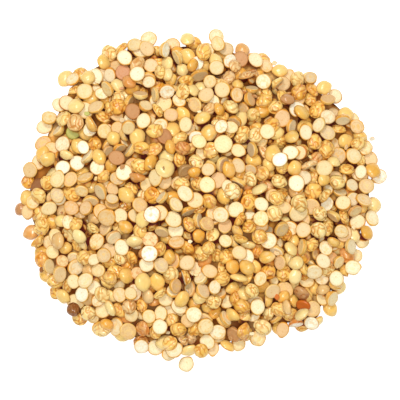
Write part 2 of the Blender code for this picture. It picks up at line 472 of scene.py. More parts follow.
def pour():
    """Pours the heap: first its rim and the ones that lie alone, then wherever room is left."""
    rng = np.random.default_rng(SEED)
    ground = Ground()
    peas = []
    for x, y in OUTLIERS:
        drop(ground, rng, peas, *ground.cell(x, y), 0, 0)
    for k in range(RIM_PEAS):
        angle = 2 * math.pi * (k + rng.uniform(-RIM_JITTER, RIM_JITTER)) / RIM_PEAS
        radius = float(outline_radius(angle)) - PEA_LENGTH / 2 - abs(rng.normal(0, RIM_SCATTER))
        x, y = radius * math.cos(angle), radius * math.sin(angle)
        nearest = min(math.hypot(x - p["place"][0], y - p["place"][1]) for p in peas)
        if nearest > RIM_CLEARANCE:
            drop(ground, rng, peas, *ground.cell(x, y), RIM_LEAN, STEEP_NUDGES, wander=0)
    misses = 0
    while len(peas) < MOST_PEAS and misses < MOST_MISSES:
        angles = rng.uniform(0, 2 * math.pi, SPOTS_TRIED)
        radii = np.sqrt(rng.uniform(0, 1, SPOTS_TRIED)) * (outline_radius(angles) - PEA_LENGTH / 2)
        spots = [ground.cell(r * math.cos(a), r * math.sin(a)) for r, a in zip(radii, angles)]
        rooms = [ground.room(*spot) for spot in spots]
        roomiest = int(np.argmax(rooms))
        if rooms[roomiest] < LEAST_ROOM:
            misses += 1
            continue
        steep = rng.random() < STEEP_SHARE
        lean = rng.uniform(*STEEP_LEAN) if steep else abs(rng.normal(0, USUAL_LEAN))
        drop(ground, rng, peas, *spots[roomiest], lean, STEEP_NUDGES if steep else NUDGES)
    return ground, peas


ground, peas = pour()
print(len(peas), "halves poured, the highest at", round(ground.height.max() * 1000, 1), "mm")

# %% [markdown]
# ## Filling the gaps
# A heap poured like that is too open. In the real one, some halves have slipped into the gaps on
# their edges. So we look for the deepest gap left, tip one more half into it, and go on until no
# gap is deep. One that would stand out of its gap is taken away again.

# %% Filling the gaps
FILL_SEED = 3
MOST_FILLS = 420
FILL_NUDGES = 60
FILL_REACH = 0.92
FILL_STANDS = 0.0025
FILL_LEAN = (0.2, 1.4)
LEAST_GAP = 0.0009
LEVEL_CELLS = 7
TRIED_CELLS = 2


def blurred(field, cells):
    """A field of heights averaged over a square of this many cells about each cell."""
    wide = 2 * cells + 1
    total = np.pad(field, (cells + 1, cells), mode="edge").cumsum(0).cumsum(1)
    total = total[wide:, :] - total[:-wide, :]
    return (total[:, wide:] - total[:, :-wide]) / wide**2


def fill_gaps(ground, peas):
    """Tips halves into the deepest gaps, one by one."""
    rng = np.random.default_rng(FILL_SEED)
    done = ground.share > FILL_REACH
    for _ in range(MOST_FILLS):
        level = blurred(ground.height, LEVEL_CELLS)
        depth = np.where(done, 0, level - blurred(ground.height, 1))
        row, column = np.unravel_index(depth.argmax(), depth.shape)
        if depth[row, column] < LEAST_GAP:
            break
        done[ground.around(row, column, TRIED_CELLS)] = True
        lean, limit = rng.uniform(*FILL_LEAN), level[row, column] + FILL_STANDS
        drop(ground, rng, peas, row, column, lean, FILL_NUDGES, limit=limit)


poured = len(peas)
fill_gaps(ground, peas)
print(len(peas) - poured, "halves slipped into gaps")

# %% [markdown]
# ## Shaking it down
# Where steep halves lean on each other, the heap has also piled up into lumps, and a knock on the
# table would bring those down. So the blurred field of heights is set against the heap's own shape,
# and what stands over it sinks, neighbours together, so that what lies on another still lies on it.

# %% Sinking the lumps
LUMP_CELLS = 10
LUMP_SINK = 0.85
ABOVE_TARGET = 0.0012
SINK_EDGE, SINK_FADE = 0.9, 0.2


def sink_lumps(ground, peas):
    """Lowers whatever has piled up over the heap's own shape, but no half into the table."""
    level = blurred(ground.height, LUMP_CELLS)
    own_level = ground.target + ABOVE_TARGET
    inner = np.clip((SINK_EDGE - ground.share) / SINK_FADE, 0, 1)
    sink = np.clip(level - own_level, 0, None) * LUMP_SINK * inner
    for pea in peas:
        under = pea["place"][2] - np.linalg.norm(pea["turn"][2] * pea["half_sizes"])
        pea["place"][2] -= min(sink[ground.cell(*pea["place"][:2])], max(under, 0))
    ground.height -= sink


sink_lumps(ground, peas)
print("now the highest is at", round(ground.height.max() * 1000, 1), "mm")

# %% [markdown]
# The field also knows which half owns each of its cells. That tells us how much of each one shows
# from above, and later which ones need no fine mesh.

# %% Measuring what shows


def measure_seen(ground, peas):
    """Writes down how much of each half shows from above, in square metres."""
    seen = np.bincount(ground.owner[ground.owner >= 0], minlength=len(peas)) * CELL**2
    for number, pea in enumerate(peas):
        pea["seen"] = seen[number]


measure_seen(ground, peas)
print(sum(pea["seen"] > 0 for pea in peas), "of", len(peas), "halves show from above")

# %% [markdown]
# ## The pale ones on top
# Some halves catch the eye in the photo because they lie on top, face up, and are nearly white.
# Each is laid where the photo has it.

# %% Laying the pale ones
WHITE = (255, 250, 234)
PALE_ONES = (
    ((0.0301, 0.0158), WHITE),
    ((-0.0182, -0.0068), WHITE),
    ((-0.0203, -0.0219), WHITE),
    ((0.0084, 0.0285), (246, 236, 206)),
    ((-0.0260, 0.0502), (250, 236, 204)),
    ((0.0262, 0.0262), (248, 230, 184)),
    ((-0.0010, 0.0215), (246, 226, 172)),
    ((0.0085, 0.0190), (247, 228, 176)),
)
PALE_LEAN = 0.12
PALE_NUDGES = 12


def lay_pale_ones(ground, peas):
    """Lays each pale half on top of the heap, and remembers its colour."""
    rng = np.random.default_rng(SEED)
    for spot, colour in PALE_ONES:
        drop(ground, rng, peas, *ground.cell(*spot), PALE_LEAN, PALE_NUDGES, face_up=True)
        peas[-1]["colour"] = colour


lay_pale_ones(ground, peas)
measure_seen(ground, peas)
print(len(PALE_ONES), "pale halves laid on top")

# %% [markdown]
# ## Chips
# Splitting breaks a few halves, and their chips lie scattered over the heap and out to its edge.
# They come last, each dropped by the same rule at a third to a half of a pea's size.

# %% Dropping the chips
CHIP_SEED = 5
CHIPS = 34
CHIP_SIZE = (0.32, 0.55)
CHIP_WIDTH = (0.5, 0.9)
CHIP_DEPTH = 0.35
CHIP_REACH = (0.02, 0.98)


def drop_chips(ground, peas):
    """Scatters chips over the heap, and lists them apart."""
    rng = np.random.default_rng(CHIP_SEED)
    chips = []
    for _ in range(CHIPS):
        angle = rng.uniform(0, 2 * math.pi)
        radius = float(outline_radius(angle)) * math.sqrt(rng.uniform(*CHIP_REACH))
        row, column = ground.cell(radius * math.cos(angle), radius * math.sin(angle))
        length = PEA_LENGTH * rng.uniform(*CHIP_SIZE)
        half_width = length / 2 * rng.uniform(*CHIP_WIDTH)
        half_sizes = np.array([length / 2, half_width, length * CHIP_DEPTH])
        turn = turned(random_axis(rng), rng.uniform(0, math.pi))
        row, column, turn, rest = settle(ground, rng, row, column, half_sizes, turn, NUDGES, 1)
        face, _, high, lies = rest
        ground.add(row, column, face, high, lies, len(peas) + len(chips))
        place = np.array([ground.axis[row], ground.axis[column], face])
        chips.append({"place": place, "turn": turn, "half_sizes": half_sizes, "seen": 1})
    return chips


chips = drop_chips(ground, peas)
print(len(chips), "chips")

# %% [markdown]
# ## The shape of a half
# A half is a round lens cut in two. Its face is nearly flat, a little dished, and rounded over at
# the rim. Its back is fuller than half an ellipsoid. Few are true circles: they are drawn out to
# the chickpea's beak on one side. A Geometry Nodes tree makes one from the grid of a cube, pushed
# out to a ball. That grid is as fine on the face as on the back, where the tip of a turned shape
# would crowd its points into a pole. Inside the tree a half has a radius and a depth of 1, and its
# own size comes when it is laid. Two attributes go with each point: where it is on the half, and
# that place moved by the shape's seed, from which the paint later finds the same wrinkles again.

# %% Building a tree


def new_group(name, inputs):
    """A geometry tree with named inputs, its Board, and those inputs as terms."""
    tree = bpy.data.node_groups.new(name, "GeometryNodeTree")
    tree.interface.new_socket("Geometry", in_out="INPUT", socket_type="NodeSocketGeometry")
    for label, kind, value in inputs:
        socket = tree.interface.new_socket(label, in_out="INPUT", socket_type=f"NodeSocket{kind}")
        if value is not None:
            socket.default_value = value
    tree.interface.new_socket("Geometry", in_out="OUTPUT", socket_type="NodeSocketGeometry")
    board = Board(tree)
    return board, board.add("NodeGroupInput")


def finish_group(board, geometry, paint):
    """Ends a tree with this geometry, made real and painted, and gives the tree."""
    real = board.add("GeometryNodeRealizeInstances", None, {"Geometry": geometry})["Geometry"]
    inputs = {"Geometry": real, "Material": paint}
    painted = board.add("GeometryNodeSetMaterial", None, inputs)["Geometry"]
    board.add("NodeGroupOutput", None, {"Geometry": painted})
    return board.tree


def set_inputs(modifier, values):
    """Sets a Geometry Nodes modifier's inputs, each by its socket's identifier."""
    for item in modifier.node_group.interface.items_tree:
        if item.item_type == "SOCKET" and item.in_out == "INPUT" and item.name in values:
            modifier[item.identifier] = values[item.name]


def run_tree(tree, name, values, start=None):
    """The mesh that a tree makes, as a plain object with no modifier."""
    mesh = start or bpy.data.meshes.new(name)
    obj = bpy.data.objects.new(name, mesh)
    bpy.context.scene.collection.objects.link(obj)
    modifier = obj.modifiers.new("grow", "NODES")
    modifier.node_group = tree
    set_inputs(modifier, values)
    graph = bpy.context.evaluated_depsgraph_get()
    made = bpy.data.meshes.new_from_object(
        obj.evaluated_get(graph), preserve_all_data_layers=True, depsgraph=graph
    )
    obj.modifiers.remove(modifier)
    obj.data = made
    made.name = name
    return obj


# %% [markdown]
# A vector can't go through the Math node, so four more helpers take vectors apart, put them
# together, add two of them and read a noise at one.

# %% Vectors and noise in a tree


def split(board, vector):
    """The three numbers of a vector."""
    numbers = board.add("ShaderNodeSeparateXYZ", None, {0: vector})
    return numbers[0], numbers[1], numbers[2]


def joined(board, *numbers):
    """A vector of two or three numbers."""
    return board.add("ShaderNodeCombineXYZ", None, dict(enumerate(numbers)))[0]


def shifted(board, place, shift):
    """The sum of two vectors."""
    return board.add("ShaderNodeVectorMath", {"operation": "ADD"}, {0: place, 1: shift})[0]


def soft_noise(board, place, scale, detail=0.0):
    """A noise between 0 and 1 that follows a place."""
    inputs = {"Vector": place, "Scale": scale, "Detail": detail}
    return board.add("ShaderNodeTexNoise", None, inputs)[0]


# %% [markdown]
# The first step takes a direction from each point of the cube. A plain cube's grid crowds at the
# corners of the ball, and a tangent spreads it evenly. The second step turns the direction into a
# point of the half. Above the rim, the way round the ball becomes the way out over the face.
# Below it, the ball is only made a little fuller.

# %% From a cube to a half
EVEN_TURN = math.pi / 4
LEAST_LEVEL = 1e-4
FACE_FROM = -0.001
FACE_SPREAD = 1.4
RIM_DROP = 0.17
RIM_START = 0.84
BACK_FULLNESS = 0.86
DISH = 0.05


def ball_direction(board):
    """The three numbers of the direction from the cube's middle to a point of its grid."""
    sides = split(board, board.add("GeometryNodeInputPosition")["Position"])
    outward = joined(board, *[(side * EVEN_TURN).math("TANGENT") for side in sides])
    ball = board.add("ShaderNodeVectorMath", {"operation": "NORMALIZE"}, {0: outward})["Vector"]
    return split(board, ball)


def face_and_back(z, level):
    """How far out and how high a point of the half lies, from its height and its distance to
    the axis on a ball."""
    from_top = z.math("ARCCOSINE") / (math.pi / 2)
    face_reach = 1 - (1 - from_top).math("MAXIMUM", 0) ** FACE_SPREAD
    rounding = ((face_reach - RIM_START) / (1 - RIM_START)).math("MAXIMUM", 0)
    face_height = -(rounding * rounding) * RIM_DROP - (1 - face_reach * face_reach) * DISH
    back_reach = level**BACK_FULLNESS
    back_height = z * (1 - RIM_DROP) - RIM_DROP
    on_face = z.above(FACE_FROM)
    reach = on_face * face_reach + (1 - on_face) * back_reach
    height = on_face * face_height + (1 - on_face) * back_height
    return reach, height


print("the rim lies", RIM_DROP, "of a half's depth under its face")

# %% [markdown]
# Wrinkles follow the lines where a noise crosses its own middle value. Such lines wind about and
# never end, much as the folds on a shrunken pea do. The surface is drawn in along them. A second,
# softer noise swells the back here and there.

# %% Wrinkles
WRINKLE_SCALE = 1.15
WRINKLE_WIDTH = 0.12
WRINKLE_TWIST = 0.6
WRINKLES_FROM = (RIM_DROP * 0.6, 0.45)
SWELL_SCALE = 1.1


def wrinkle_line(board, place):
    """1 in the grooves of a wrinkled back and 0 on its folds."""
    noise = board.add(
        "ShaderNodeTexNoise",
        {"noise_dimensions": "3D"},
        {"Vector": place, "Scale": WRINKLE_SCALE, "Detail": 0.0, "Distortion": WRINKLE_TWIST},
    )[0]
    return 1 - abs(noise - 0.5).step(0, WRINKLE_WIDTH)


def wrinkled(board, smooth, height, pattern, depth, unevenness):
    """A point of the smooth half, drawn in along the wrinkles of its back and swollen."""
    back_only = (-height).step(*WRINKLES_FROM)
    draw_in = 1 - wrinkle_line(board, pattern) * back_only * depth
    draw_in = draw_in + (soft_noise(board, pattern, SWELL_SCALE) - 0.5) * unevenness * back_only
    inputs = {0: smooth, "Scale": draw_in}
    return board.add("ShaderNodeVectorMath", {"operation": "SCALE"}, inputs)[0]


print("wrinkles fade in from", WRINKLES_FROM[0], "to", WRINKLES_FROM[1], "under the face")

# %% [markdown]
# Now the tree itself. The outline comes from a noise read round the rim, a narrow bump for the
# beak, and for chips the cells of a Voronoi pattern, which cut it to corners. The seed moves all
# patterns to another place, so each seed gives another half.

# %% The tree of one half
SEED_SLANT = 0.37
USUAL_RADIUS = 0.97
LUMP_SCALE = 0.9
FACET_SCALE = 1.1
BEAK_SHARPNESS = 14


def outline_share(board, x, y, seed_shift, given):
    """How far out the outline lies in the direction x, y, as a share of the radius."""
    round_place = shifted(board, joined(board, x, y), seed_shift)
    lumps = soft_noise(board, round_place, LUMP_SCALE)
    beak = x.math("MAXIMUM", 0) ** BEAK_SHARPNESS
    inputs = {"Vector": round_place, "Scale": FACET_SCALE}
    facets = board.add("ShaderNodeTexVoronoi", None, inputs)[0]
    outline = USUAL_RADIUS + (lumps - 0.5) * given["Unevenness"] + beak * given["Beak"]
    return outline - facets * given["Chipping"]


def half_shape_tree():
    board, given = new_group(
        "half_pea_shape",
        [
            ("Points a side", "Int", 7),
            ("Wrinkle depth", "Float", 0.0),
            ("Unevenness", "Float", 0.1),
            ("Beak", "Float", 0.06),
            ("Chipping", "Float", 0.0),
            ("Seed", "Float", 0.0),
            ("Paint", "Material", None),
        ],
    )
    count = given["Points a side"]
    cube = board.add(
        "GeometryNodeMeshCube",
        None,
        {"Size": (2, 2, 2), "Vertices X": count, "Vertices Y": count, "Vertices Z": count},
    )
    x, y, z = ball_direction(board)
    level = (x * x + y * y).math("SQRT").math("MAXIMUM", LEAST_LEVEL)
    reach, height = face_and_back(z, level)
    seed_shift = joined(board, given["Seed"], given["Seed"] * SEED_SLANT)
    wide = reach * outline_share(board, x / level, y / level, seed_shift, given) / level
    smooth = joined(board, x * wide, y * wide, height)
    pattern = shifted(board, smooth, seed_shift)
    depth, unevenness = given["Wrinkle depth"], given["Unevenness"]
    final = wrinkled(board, smooth, height, pattern, depth, unevenness)

    kept = cube["Mesh"]
    for name, value in (("pea_place", smooth), ("pattern_place", pattern)):
        kept = board.add(
            "GeometryNodeStoreNamedAttribute",
            {"data_type": "FLOAT_VECTOR", "domain": "POINT"},
            {"Geometry": kept, "Name": name, "Value": value},
        )["Geometry"]
    moved = board.add("GeometryNodeSetPosition", None, {"Geometry": kept, "Position": final})
    shaded = board.add("GeometryNodeSetShadeSmooth", None, {"Geometry": moved["Geometry"]})
    return finish_group(board, shaded["Geometry"], given["Paint"])


shape_tree = half_shape_tree()
print(len(shape_tree.nodes), "nodes shape a half")

# %% [markdown]
# ## The colours of a half
# Every half has its own colour, so the paint can't be one recipe with noise over it. Each gets a
# colour for its face and one for its back, drawn from a short list of named colours in the shares
# that the photo shows, and then varied a little. Faces run from chalk white through cream to
# biscuit. Backs run from straw to deep gold, and a few are toffee or sand.

# %% Named colours
FACE_COLOURS = {
    "chalk": ((250, 243, 222), 0.04),
    "cream": ((245, 231, 194), 0.30),
    "butter": ((242, 221, 172), 0.34),
    "biscuit": ((236, 204, 152), 0.22),
    "rosy": ((230, 192, 142), 0.05),
    "grey straw": ((220, 194, 150), 0.05),
}
BACK_COLOURS = {
    "straw": ((244, 213, 138), 0.24),
    "gold": ((241, 195, 102), 0.45),
    "deep gold": ((235, 176, 74), 0.21),
    "toffee": ((222, 154, 78), 0.04),
    "sand": ((232, 190, 126), 0.06),
}
DEPTH_SPREAD = 0.09
BRIGHTNESS_SPREAD = 0.03
BRIGHTEST = 0.95


def linear(colour):
    """A colour in screen values from 0 to 255, as the linear light that the shaders use."""
    share = np.array(colour) / 255
    return np.where(share > 0.04045, ((share + 0.055) / 1.055) ** 2.4, share / 12.92)


def draw_colour(rng, colours):
    """One of the named colours, by its share, made a little paler or deeper."""
    names = list(colours)
    shares = np.array([colours[name][1] for name in names])
    chosen = names[rng.choice(len(names), p=shares / shares.sum())]
    deepened = linear(colours[chosen][0]) ** rng.normal(1, DEPTH_SPREAD)
    return np.clip(deepened * rng.normal(1, BRIGHTNESS_SPREAD), 0, BRIGHTEST)


print(len(FACE_COLOURS), "colours for faces and", len(BACK_COLOURS), "for backs")

# %% [markdown]
# A few more halves are told apart by their colour alone: a green one, which was picked unripe, and
# some brown ones, toasted or with a bit of skin left. The half that shows best near each of those
# spots takes that colour on both sides, and two pale faces are found in the same way.

# %% Landmarks
BROWN = (150, 98, 54)
LANDMARKS = (
    ("face", (0.0736, 0.0096), WHITE),
    ("face", (-0.0375, 0.0609), (252, 238, 206)),
    ("any", (-0.0520, 0.0274), (186, 186, 96)),
    ("any", (-0.0264, 0.0392), (192, 138, 84)),
    ("any", (-0.0650, 0.0080), BROWN),
    ("any", (-0.0740, -0.0043), (194, 140, 92)),
    ("any", (-0.0539, -0.0453), BROWN),
    ("any", (-0.0305, 0.0178), (200, 146, 94)),
    ("any", (-0.0162, 0.0240), (190, 136, 88)),
    ("any", (-0.0092, 0.0092), (182, 146, 98)),
    ("any", (0.0400, -0.0383), (200, 150, 98)),
    ("any", (0.0141, -0.0527), (206, 158, 106)),
    ("any", (0.0396, -0.0445), (208, 112, 34)),
    ("any", (0.0318, 0.0420), (200, 148, 96)),
    ("any", (0.0174, 0.0597), (202, 150, 98)),
    ("any", (-0.0326, 0.0527), (214, 158, 116)),
)
WELL_SEEN = 20e-6
COVERED_CHARGE = 400
FACES_CAMERA = 0.9
TURNED_CHARGE = 0.02
TAKEN_CHARGE = 1


def paint_halves(peas):
    """Gives each half the colours of its face and of its back."""
    rng = np.random.default_rng(SEED)
    for pea in peas:
        pea["face_colour"] = draw_colour(rng, FACE_COLOURS)
        pea["back_colour"] = draw_colour(rng, BACK_COLOURS)
        pea["tone"] = rng.uniform()
        if "colour" in pea:
            pea["face_colour"] = linear(pea["colour"])
    for side, spot, colour in LANDMARKS:
        best = min(peas, key=lambda pea: landmark_cost(pea, side, spot))
        best["face_colour"] = linear(colour)
        if side == "any":
            best["back_colour"] = linear(colour)


def landmark_cost(pea, side, spot):
    """Distance from a landmark, with a charge for a half that is covered or turned away."""
    distance = math.hypot(pea["place"][0] - spot[0], pea["place"][1] - spot[1])
    covered = max(WELL_SEEN - pea["seen"], 0) * COVERED_CHARGE
    turned_away = side == "face" and pea["turn"][2, 2] < FACES_CAMERA
    charges = TURNED_CHARGE * turned_away + TAKEN_CHARGE * ("colour" in pea)
    return distance + covered + charges


paint_halves(peas)
paint_halves(chips)
print(len(peas) + len(chips), "halves and chips painted,", len(LANDMARKS), "of them landmarks")

# %% [markdown]
# ## Paint
# One material serves all halves. The tree reads the attributes that travel with each half, so the
# pattern stays on it however it is turned. Two helpers read an attribute and mix two colours, since
# a colour can't go through the Math node either.

# %% Attributes and colours in a tree


def attribute(board, name, output):
    return board.add("ShaderNodeAttribute", {"attribute_name": name}, None)[output]


def mixed(board, share, first, second, way="MIX"):
    """Two colours mixed by a share."""
    settings = {"data_type": "RGBA", "blend_type": way}
    inputs = {"Factor_Float": share, "A_Color": first, "B_Color": second}
    return board.add("ShaderNodeMix", settings, inputs)["Result_Color"]


# %% [markdown]
# The face is matt and chalky. Some have a faint ring and others a small scar where the germ sat. In
# worn patches the gold below shows through, and painted shade darkens the face towards its rim. A
# half's tone, a number between 0 and 1, says how much of each it has.

# %% Marks on the face
RING_REACH, RING_TONES = (0.50, 0.62, 0.74), (0.35, 0.75)
SCAR_PLACE, SCAR_REACH, SCAR_TONES = (0.22, 0.08, 0.0), (0.04, 0.13), (0.3, 0.7)
WORN_SCALE, WORN_EDGE, WORN_TONES = 2.0, (0.46, 0.66), (0.1, 0.9)
CHALK_SCALE = 7.0
MARK_DETAIL = 3.0


def face_marks(board, place, pattern, tone, edge):
    """Where a face has its ring, its scar, its chalk and its worn patches."""
    ring = edge.step(*RING_REACH[:2]) * (1 - edge.step(*RING_REACH[1:]))
    ring = ring * tone.step(*RING_TONES)
    ends = {0: place, 1: SCAR_PLACE}
    from_scar = board.add("ShaderNodeVectorMath", {"operation": "DISTANCE"}, ends)["Value"]
    scar = (1 - from_scar.step(*SCAR_REACH)) * (1 - tone).step(*SCAR_TONES)
    chalk = soft_noise(board, pattern, CHALK_SCALE, MARK_DETAIL)
    patches = soft_noise(board, pattern, WORN_SCALE, MARK_DETAIL)
    worn = patches.step(*WORN_EDGE) * tone.step(*WORN_TONES)
    return ring, scar, chalk, worn


# %% [markdown]
# The marks could each have a colour of their own, but on a real face they are all one warm brown,
# stronger or weaker. So their strengths are added up with the painted shade towards the rim, and
# one tint is multiplied in.

# %% Paint on the face
MARK_AND_SHADE_TINT = (0.76, 0.46, 0.13, 1)
RING_SHADE, SCAR_SHADE, CHALK_SHADE, RIM_SHADE = 0.20, 0.5, 0.28, 0.2
CHALK_EDGE = (0.42, 0.72)
SHADED_REACH = (0.5, 0.9)
WORN_SHARE = 0.6


def face_paint(board, face_colour, back_colour, reach, marks):
    """The face's colour, worn through in patches and darkened by its marks and by painted shade."""
    ring, scar, chalk, worn = marks
    darker = ring * RING_SHADE + scar * SCAR_SHADE
    darker = darker + chalk.step(*CHALK_EDGE) * CHALK_SHADE
    # Painted shade: darker towards the rim.
    darker = darker + reach.step(*SHADED_REACH) * RIM_SHADE
    face = mixed(board, worn * WORN_SHARE, face_colour, back_colour)
    return mixed(board, darker, face, MARK_AND_SHADE_TINT, "MULTIPLY")


# %% [markdown]
# The back is glossy and paler on its folds. Painted shade makes it orange in its grooves and darker
# in a band at the rim, where the back turns down under the face.

# %% Paint on the back
GROOVE_SHADE_TINT = (0.70, 0.36, 0.06, 1)
FOLD_SCALE, FOLD_DETAIL = 1.4, 1.0
FOLD_EDGE, FOLD_PALENESS = (0.35, 0.75), 0.24
RIM_SHADE_BAND, RIM_BAND_DEPTH = (0.86, 0.97), (0.2, 0.4)
RIM_DARKNESS, RIM_COVER = 0.75, 0.9


def back_paint(board, face_colour, back_colour, pattern, groove, reach, z):
    """The back's colour, paler on its folds, with painted shade in its grooves and darkest at its
    rim.
    """
    fold = soft_noise(board, pattern, FOLD_SCALE, FOLD_DETAIL)
    # Painted shade: the grooves are multiplied by a deep orange.
    back = mixed(board, groove, back_colour, GROOVE_SHADE_TINT, "MULTIPLY")
    back = mixed(board, fold.step(*FOLD_EDGE) * FOLD_PALENESS, back, face_colour)
    # Painted shade: a darker band where the back turns down under the rim.
    shaded_rim = mixed(board, RIM_DARKNESS, back_colour, MARK_AND_SHADE_TINT, "MULTIPLY")
    rim_shade_band = reach.step(*RIM_SHADE_BAND) * (1 - (-z).step(*RIM_BAND_DEPTH))
    return mixed(board, rim_shade_band * RIM_COVER, back, shaded_rim)


# %% [markdown]
# Where a half lies in a gap, painted shade turns it first more orange and then brown, as light
# does that has bounced between gold walls. Bump adds what is finer than the mesh: grain, the
# chalk's unevenness, and sharper grooves. Mesh could show that too, but nine hundred halves would
# need far too much.

# %% Stain and relief
GAP_SHADE_TINT, GAP_SHADE_TINTED_BY = (1.0, 0.58, 0.14, 1), 0.7
GAP_SHADE_BROWN = (92, 16, 0)
GRAIN_SCALE, GRAIN_DETAIL, GRAIN_HEIGHT = 16.0, 2.0, 0.12
CHALK_HEIGHT, RING_HEIGHT = 0.35, 0.3
GROOVE_DEPTH, SCAR_DEPTH = 0.9, 0.6
BUMP_STRENGTH, BUMP_DISTANCE = 0.35, 0.0002


def stained(board, colour, gap_shade):
    """A colour turned orange and then brown by painted shade, the deeper it lies in a gap."""
    colour = mixed(board, gap_shade.step(0, GAP_SHADE_TINTED_BY), colour, GAP_SHADE_TINT, "MULTIPLY")
    return mixed(board, gap_shade * gap_shade, colour, (*linear(GAP_SHADE_BROWN), 1))


def half_relief(board, pattern, on_face, groove, marks):
    """The surface's direction, with all that is finer than the mesh."""
    ring, scar, chalk, worn = marks
    grain = soft_noise(board, pattern, GRAIN_SCALE, GRAIN_DETAIL)
    height = grain * GRAIN_HEIGHT + (chalk + worn) * on_face * CHALK_HEIGHT
    height = height - groove * GROOVE_DEPTH - scar * SCAR_DEPTH + ring * RING_HEIGHT
    inputs = {"Height": height, "Strength": BUMP_STRENGTH, "Distance": BUMP_DISTANCE}
    return board.add("ShaderNodeBump", None, inputs)["Normal"]


# %% [markdown]
# The material joins face and back along a slightly ragged edge just inside the rim. The back is
# the glossiest, the face is duller, and what lies in a gap is dusty and hardly shines.

# %% The material of a half
FACE_EDGE = (0.82, 0.93)
EDGE_SCALE, EDGE_DETAIL, EDGE_RAGGEDNESS = 2.2, 2.0, 0.10
LOWEST_FACE = -RIM_DROP * 0.75
SHINE = 0.4
BACK_ROUGHNESS = 0.26
FACE_ROUGHER, CHALK_ROUGHER, GAP_ROUGHER = 0.28, 0.12, 0.4


def half_material():
    material = bpy.data.materials.new("dry_pulse")
    material.use_nodes = True
    board = Board(material.node_tree)
    shader = material.node_tree.nodes["Principled BSDF"]
    shader.inputs["Specular IOR Level"].default_value = SHINE

    place = attribute(board, "pea_place", "Vector")
    pattern = attribute(board, "pattern_place", "Vector")
    colours = [attribute(board, name, "Color") for name in ("face_colour", "back_colour")]
    x, y, z = split(board, place)
    reach = (x * x + y * y).math("SQRT")
    ragged = (soft_noise(board, pattern, EDGE_SCALE, EDGE_DETAIL) - 0.5) * EDGE_RAGGEDNESS
    edge = reach + ragged
    on_face = (1 - edge.step(*FACE_EDGE)) * z.above(LOWEST_FACE)
    marks = face_marks(board, place, pattern, attribute(board, "tone", "Fac"), edge)
    chalk = marks[2]
    wrinkles = attribute(board, "wrinkles", "Fac")
    groove = wrinkle_line(board, pattern) * (-z).step(*WRINKLES_FROM) * wrinkles

    face = face_paint(board, *colours, reach, marks)
    back = back_paint(board, *colours, pattern, groove, reach, z)
    gap_shade = attribute(board, "gap_shade", "Fac")
    # Painted shade: orange, then brown, deep in gaps and on steep flanks.
    colour = stained(board, mixed(board, on_face, back, face), gap_shade)
    board.plug(shader.inputs["Base Color"], colour)

    rough = BACK_ROUGHNESS + on_face * FACE_ROUGHER + (chalk - 0.5) * CHALK_ROUGHER
    board.plug(shader.inputs["Roughness"], rough + gap_shade * GAP_ROUGHER)
    relief = half_relief(board, pattern, on_face, groove, marks)
    board.plug(shader.inputs["Normal"], relief)
    return material


pulse_paint = half_material()
print(len(pulse_paint.node_tree.nodes), "nodes paint a half")

# %% [markdown]
# ## A shelf of shapes
# A cook's eye tells the sorts apart by their backs: about three in five are wrinkled, some deeply,
# and the others are smooth. Those that lie face up need a good rim and few points on the back, and
# those that are nearly covered need few points at all. Each sort gets a handful of shapes, so that
# no single one is repeated often.

# %% The sorts of half
SORTS = {
    "faced": {"shapes": 14, "Points a side": 7, "Wrinkle depth": 0.03, "Unevenness": 0.26},
    "smooth": {"shapes": 10, "Points a side": 9, "Wrinkle depth": 0.03, "Unevenness": 0.20},
    "wrinkled": {"shapes": 12, "Points a side": 11, "Wrinkle depth": 0.12, "Unevenness": 0.22},
    "furrowed": {"shapes": 10, "Points a side": 11, "Wrinkle depth": 0.18, "Unevenness": 0.26},
    "buried": {"shapes": 6, "Points a side": 5, "Wrinkle depth": 0.0, "Unevenness": 0.12},
    "chip": {"shapes": 8, "Points a side": 6, "Wrinkle depth": 0.1, "Chipping": 0.45},
}
MOST_SEED_SHIFT = 90
USUAL_BEAK, BEAK_SPREAD = 0.06, 0.06


def make_shapes(sort, recipe):
    """A collection of shapes of one sort, kept out of the scene."""
    shelf = bpy.data.collections.new(f"shapes_{sort}")
    rng = np.random.default_rng(sum(map(ord, sort)))
    for number in range(recipe["shapes"]):
        values = {name: value for name, value in recipe.items() if name != "shapes"}
        values["Paint"] = pulse_paint
        values["Seed"] = float(rng.uniform(0, MOST_SEED_SHIFT))
        values["Beak"] = float(max(rng.normal(USUAL_BEAK, BEAK_SPREAD), 0))
        shape = run_tree(shape_tree, f"{sort}_{number:02d}", values)
        bpy.context.scene.collection.objects.unlink(shape)
        shelf.objects.link(shape)
    return shelf


shelves = {sort: make_shapes(sort, recipe) for sort, recipe in SORTS.items()}

# %% [markdown]
# ## Laying the halves
# A second tree puts a shape on every point of a cloud. The points carry what each half needs as
# attributes: which shape, how it is turned and how large it is. Its instances are realized, because
# only real mesh leaves Blender, and the colours that the points carry go with them.

# %% The laying tree


def laying_tree():
    board, given = new_group(
        "lay_halves",
        [("Shapes", "Collection", None), ("Paint", "Material", None), ("Size", "Float", 1.0)],
    )

    def carried(name, data_type):
        reader = board.add(
            "GeometryNodeInputNamedAttribute", {"data_type": data_type}, {"Name": name}
        )
        return reader["Attribute"]

    shelf = board.add(
        "GeometryNodeCollectionInfo",
        None,
        {"Collection": given["Shapes"], "Separate Children": True, "Reset Children": True},
    )
    turn = board.add("FunctionNodeEulerToRotation", None, {0: carried("turn", "FLOAT_VECTOR")})[0]
    size = board.add(
        "ShaderNodeVectorMath",
        {"operation": "SCALE"},
        {0: carried("half_sizes", "FLOAT_VECTOR"), "Scale": given["Size"]},
    )[0]
    laid = board.add(
        "GeometryNodeInstanceOnPoints",
        None,
        {
            "Points": given["Geometry"],
            "Instance": shelf["Instances"],
            "Pick Instance": True,
            "Instance Index": carried("shape", "INT"),
            "Rotation": turn,
            "Scale": size,
        },
    )
    return finish_group(board, laid["Instances"], given["Paint"])


